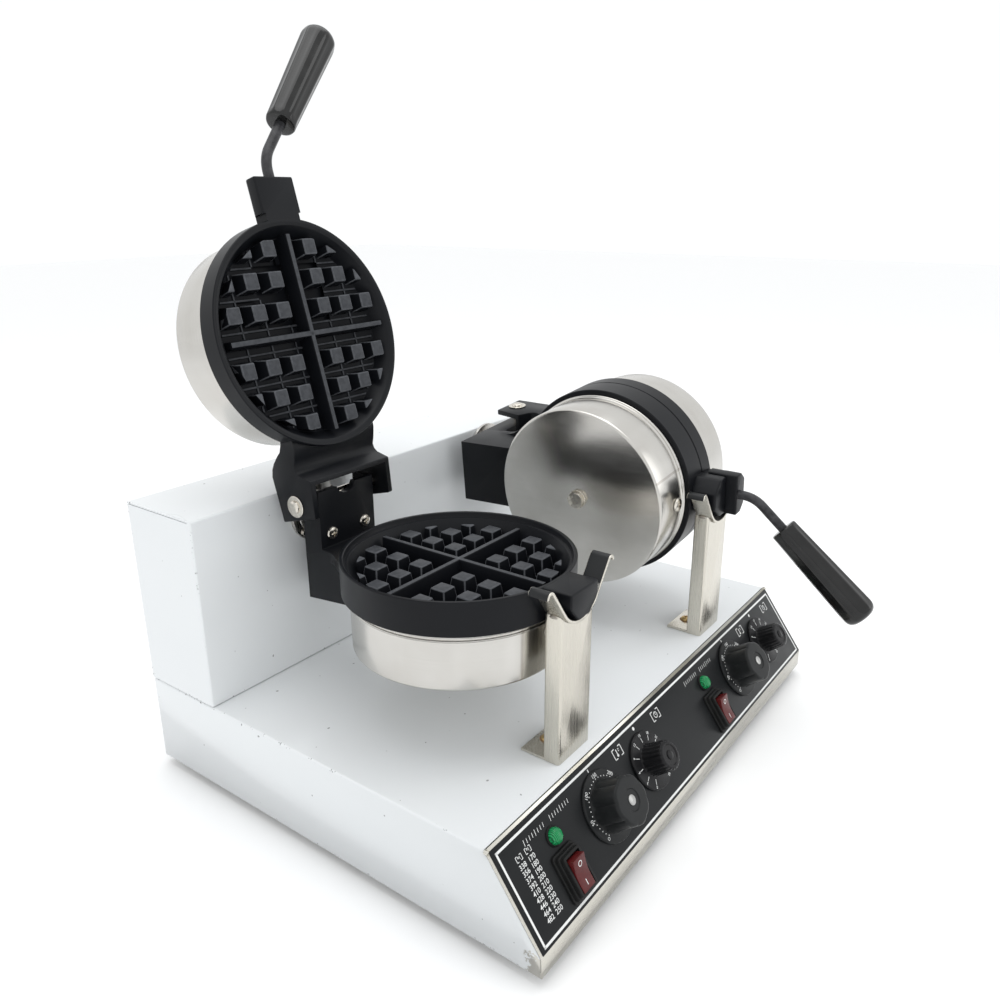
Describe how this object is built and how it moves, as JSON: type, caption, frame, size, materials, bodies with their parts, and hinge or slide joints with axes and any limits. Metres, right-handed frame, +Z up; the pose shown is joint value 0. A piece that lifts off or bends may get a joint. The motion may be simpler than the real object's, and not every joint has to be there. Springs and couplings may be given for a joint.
{
  "type": "waffle maker",
  "caption": "Twin rotary waffle maker: round hinged baking heads that roll on shafts over a sheet-metal base with a sloped control panel.",
  "frame": {"origin": "on the floor under the four feet, at the middle of the whole machine's footprint with its handles", "axes": "+X to the machine's right, +Y to its back, +Z up"},
  "size_m": [0.55, 0.5722, 0.691],
  "materials": {
    "white_sheet": "satin white film on folded sheet steel",
    "stainless": "brushed stainless sheet",
    "drum_stainless": "stainless can brushed round its axis",
    "cradle_steel": "dark strap steel with worn bright edges",
    "plated_steel": "bright nickel plate",
    "brass_plated": "yellow passivated screw",
    "nonstick_casting": "casting with a satin black non-stick coat",
    "black_rod": "black coated steel rod",
    "panel_overlay": "black printed sheet",
    "panel_ink": "white screen print",
    "rubber": "black moulded rubber",
    "rocker_red": "dark red translucent moulding",
    "lamp_green": "green ribbed lens",
    "knob_grey": "dark grey moulding with a printed skirt",
    "knob_black": "black moulding with a printed skirt",
    "grip_black": "glossy black heat-proof moulding",
    "heater_sheath": "dull sheath of a tubular element",
    "phenolic": "dark moulded case"
  },
  "bodies": {
    "base": {"base_shell": "white_sheet", "rear_housing": "white_sheet", "rear_cover": "white_sheet", "base_pan": "stainless", "front_fascia": "stainless", "control_panel": "panel_overlay", "cord_gland": "rubber", "foot_front_left": "rubber", "foot_front_right": "rubber", "foot_rear_left": "rubber", "foot_rear_right": "rubber", "left_indicator_lamp": "lamp_green", "left_switch_boot": "rubber", "left_thermostat_body": "phenolic", "left_timer_body": "plated_steel", "left_post": "stainless", "left_cradle": "cradle_steel", "left_post_screw": "brass_plated", "left_shaft_bearing": "plated_steel", "right_indicator_lamp": "lamp_green", "right_switch_boot": "rubber", "right_thermostat_body": "phenolic", "right_timer_body": "plated_steel", "right_post": "stainless", "right_cradle": "cradle_steel", "right_post_screw": "brass_plated", "right_shaft_bearing": "plated_steel"},
    "left_head": {"left_lower_plate": "nonstick_casting", "left_lower_drum": "drum_stainless", "left_lower_heater": "heater_sheath", "left_lower_bolt": "plated_steel", "left_drum_screw": "plated_steel", "left_roll_shaft": "plated_steel", "left_hinge_pin": "plated_steel"},
    "left_lid": {"left_upper_plate": "nonstick_casting", "left_upper_drum": "drum_stainless", "left_upper_heater": "heater_sheath", "left_upper_bolt": "plated_steel", "left_handle_rod": "black_rod", "left_handle_grip": "grip_black"},
    "left_thermostat": {"left_thermostat_knob": "knob_grey"},
    "left_timer": {"left_timer_knob": "knob_black"},
    "left_rocker": {"left_switch_rocker": "rocker_red"},
    "right_head": {"right_lower_plate": "nonstick_casting", "right_lower_drum": "drum_stainless", "right_lower_heater": "heater_sheath", "right_lower_bolt": "plated_steel", "right_drum_screw": "plated_steel", "right_roll_shaft": "plated_steel", "right_hinge_pin": "plated_steel"},
    "right_lid": {"right_upper_plate": "nonstick_casting", "right_upper_drum": "drum_stainless", "right_upper_heater": "heater_sheath", "right_upper_bolt": "plated_steel", "right_handle_rod": "black_rod", "right_handle_grip": "grip_black"},
    "right_thermostat": {"right_thermostat_knob": "knob_grey"},
    "right_timer": {"right_timer_knob": "knob_black"},
    "right_rocker": {"right_switch_rocker": "rocker_red"}
  },
  "joints": [
    {"name": "left_roll", "type": "hinge", "parent": "base", "child": "left_head", "pos_m": [-0.138, -0.0074, 0.251], "axis": [0, -1, 0], "range_deg": [-35, 35]},
    {"name": "left_lid_hinge", "type": "hinge", "parent": "left_head", "child": "left_lid", "pos_m": [-0.138, 0.1401, 0.2748], "axis": [-1, 0, 0], "range_deg": [-105.4, 0]},
    {"name": "left_thermostat_turn", "type": "hinge", "parent": "base", "child": "left_thermostat", "pos_m": [-0.144, -0.16267, 0.06282], "axis": [0, 0.8097, -0.5868], "range_deg": [0, 270]},
    {"name": "left_timer_turn", "type": "hinge", "parent": "base", "child": "left_timer", "pos_m": [-0.068, -0.16267, 0.06282], "axis": [0, 0.8097, -0.5868], "range_deg": [0, 300]},
    {"name": "left_switch_press", "type": "hinge", "parent": "base", "child": "left_rocker", "pos_m": [-0.212, -0.1753, 0.05221], "axis": [-1, 0, 0], "range_deg": [0, 20]},
    {"name": "right_roll", "type": "hinge", "parent": "base", "child": "right_head", "pos_m": [0.138, -0.0074, 0.251], "axis": [0, -1, 0], "range_deg": [-95.15, 84.85]},
    {"name": "right_lid_hinge", "type": "hinge", "parent": "right_head", "child": "right_lid", "pos_m": [0.1617, 0.1401, 0.25314], "axis": [-0.0898, 0, 0.996], "range_deg": [0, 75]},
    {"name": "right_thermostat_turn", "type": "hinge", "parent": "base", "child": "right_thermostat", "pos_m": [0.132, -0.16267, 0.06282], "axis": [0, 0.8097, -0.5868], "range_deg": [0, 270]},
    {"name": "right_timer_turn", "type": "hinge", "parent": "base", "child": "right_timer", "pos_m": [0.208, -0.16267, 0.06282], "axis": [0, 0.8097, -0.5868], "range_deg": [0, 300]},
    {"name": "right_switch_press", "type": "hinge", "parent": "base", "child": "right_rocker", "pos_m": [0.064, -0.1753, 0.05221], "axis": [-1, 0, 0], "range_deg": [0, 20]}
  ]
}
